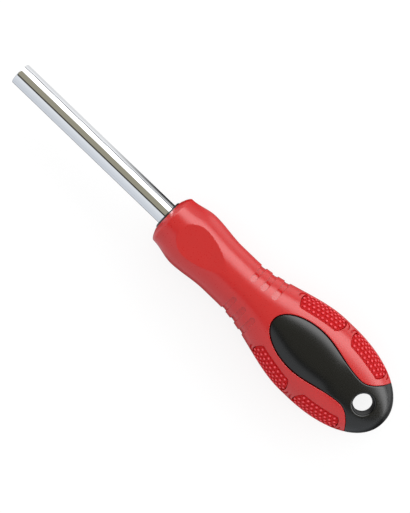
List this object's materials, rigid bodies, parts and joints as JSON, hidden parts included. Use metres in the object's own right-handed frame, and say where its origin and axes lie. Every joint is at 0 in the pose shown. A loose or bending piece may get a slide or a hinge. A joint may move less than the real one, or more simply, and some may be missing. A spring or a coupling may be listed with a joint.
{
  "type": "magnetic bit screwdriver",
  "caption": "Screwdriver with a bright steel shaft, a magnetic hex bit socket in its tip, and a soft red and hard black moulded handle with studded pads and a hang hole.",
  "frame": {"origin": "on the tool's axis, at the middle of the magnet's front face, where a bit seats", "axes": "+X along the shaft and out of the tip, +Z out of the handle's window face that the picture shows, +Y across the handle"},
  "size_m": [0.2015, 0.0388, 0.0294],
  "materials": {
    "chromed_steel": "polished chrome plate",
    "spring_steel": "oiled spring steel",
    "nickel_plated_magnet": "nickel plate",
    "black_plastic": "fine satin moulding",
    "red_rubber": "smooth satin soft grip",
    "deep_red_rubber": "studded soft grip"
  },
  "bodies": {
    "root": {"shaft": "chromed_steel", "bit_magnet": "nickel_plated_magnet", "bit_retaining_ring": "spring_steel", "handle_core": "black_plastic", "grip_sleeve": "red_rubber", "grip_pad_front_left_top": "deep_red_rubber", "grip_pad_front_left_bottom": "deep_red_rubber", "grip_pad_front_right_top": "deep_red_rubber", "grip_pad_front_right_bottom": "deep_red_rubber", "grip_pad_rear_left_top": "deep_red_rubber", "grip_pad_rear_left_bottom": "deep_red_rubber", "grip_pad_rear_right_top": "deep_red_rubber", "grip_pad_rear_right_bottom": "deep_red_rubber"}
  },
  "joints": []
}
